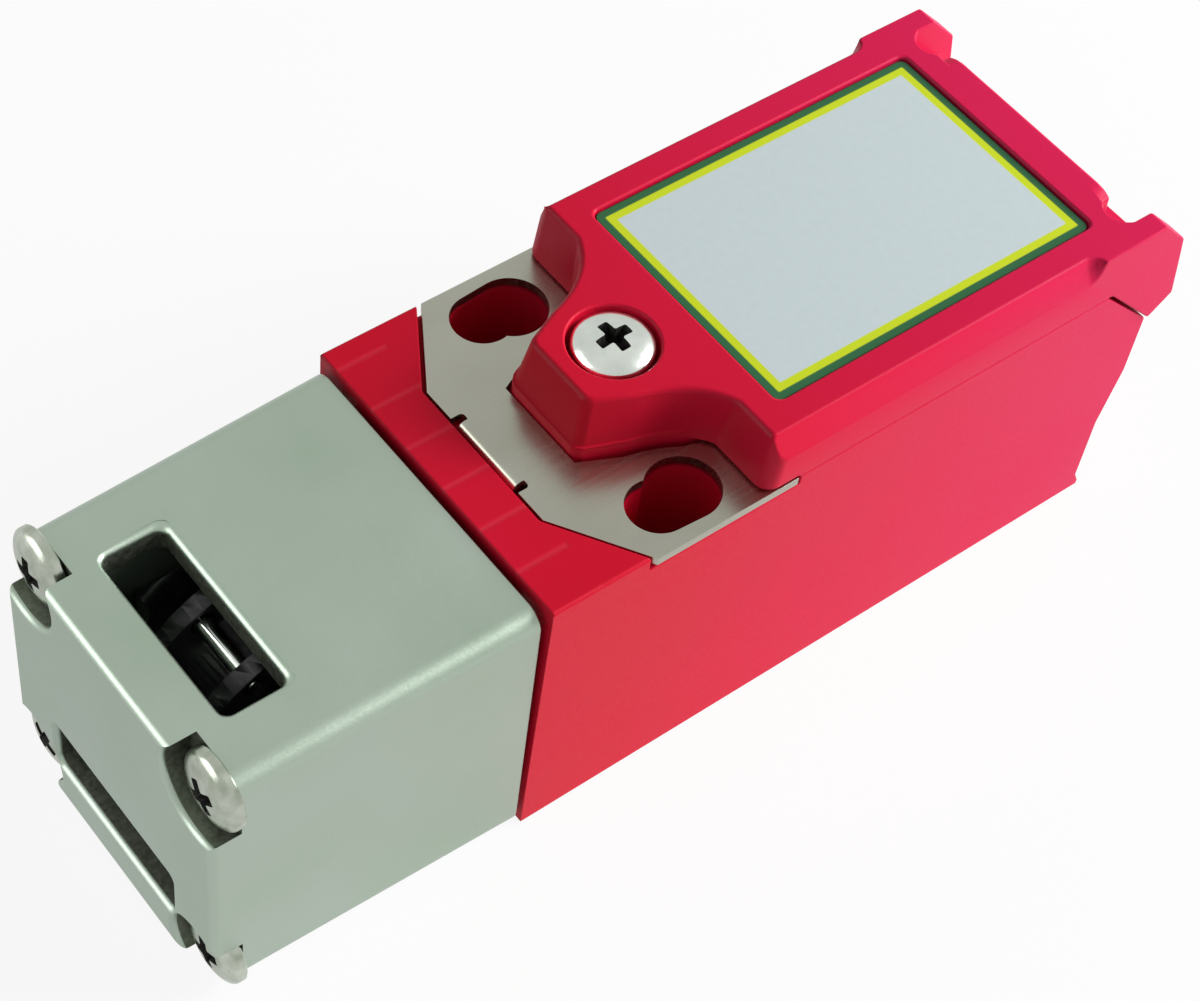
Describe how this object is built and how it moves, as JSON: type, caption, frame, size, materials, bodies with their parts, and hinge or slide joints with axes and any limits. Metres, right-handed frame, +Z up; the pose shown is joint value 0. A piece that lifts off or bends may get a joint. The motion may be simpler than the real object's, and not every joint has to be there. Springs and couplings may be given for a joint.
{
  "type": "safety interlock switch",
  "caption": "Slim safety interlock switch: satin metal key head, red moulded body, steel fixing plate with slots, and a hinged lid with a bare label field.",
  "frame": {"origin": "centre of the base, on the mounting surface", "axes": "+X from the key head towards the cable end, +Y across the switch, +Z up to the lid"},
  "size_m": [0.0818, 0.0262, 0.0308],
  "materials": {
    "satin die cast": "satin",
    "red moulding": "satin",
    "stainless sheet": "brushed",
    "plated steel": "polished",
    "black moulding": "matte",
    "natural moulding": "matte",
    "black rubber": "matte",
    "brass": "satin",
    "silver contact": "satin",
    "label face": "satin"
  },
  "bodies": {
    "switch": {"head_shell": "satin die cast", "head_gasket": "black rubber", "head_screw_top_left": "plated steel", "head_screw_top_right": "plated steel", "head_screw_bottom_left": "plated steel", "head_screw_bottom_right": "plated steel", "cam_carrier": "black moulding", "cam_axle": "plated steel", "plunger_bush": "brass", "body": "red moulding", "mounting_plate": "stainless sheet", "lid_gasket": "black rubber", "lid_insert": "brass", "contact_block": "black moulding", "return_spring": "plated steel", "terminal_front_left": "brass", "terminal_front_right": "brass", "terminal_rear_left": "brass", "terminal_rear_right": "brass", "terminal_screw_front_left": "plated steel", "terminal_screw_front_right": "plated steel", "terminal_screw_rear_left": "plated steel", "terminal_screw_rear_right": "plated steel", "cable_grommet": "black rubber"},
    "cam": {"key_cam": "black moulding", "catch_pin_top": "plated steel", "catch_pin_front": "plated steel"},
    "slide": {"plunger": "plated steel", "contact_carrier": "natural moulding", "contact_bridge_front": "silver contact", "contact_bridge_rear": "silver contact", "bridge_spring_front": "plated steel", "bridge_spring_rear": "plated steel"},
    "cover": {"lid": "red moulding", "label": "label face", "lid_screw": "plated steel"}
  },
  "joints": [
    {"name": "cam_turn", "type": "hinge", "parent": "switch", "child": "cam", "pos_m": [-0.0282, 0, 0.0125], "axis": [0, -1, 0], "range_deg": [0, 50]},
    {"name": "plunger_travel", "type": "slide", "parent": "switch", "child": "slide", "axis": [1, 0, 0], "range_m": [-0.002, 0], "deforming": ["return_spring"]},
    {"name": "lid_hinge", "type": "hinge", "parent": "switch", "child": "cover", "pos_m": [0.0395, 0, 0.021], "axis": [0, 1, 0], "range_deg": [0, 70]}
  ],
  "couplings": [
    {"joint": "plunger_travel", "follows": "cam_turn", "m_per_rad": -0.0022918}
  ]
}
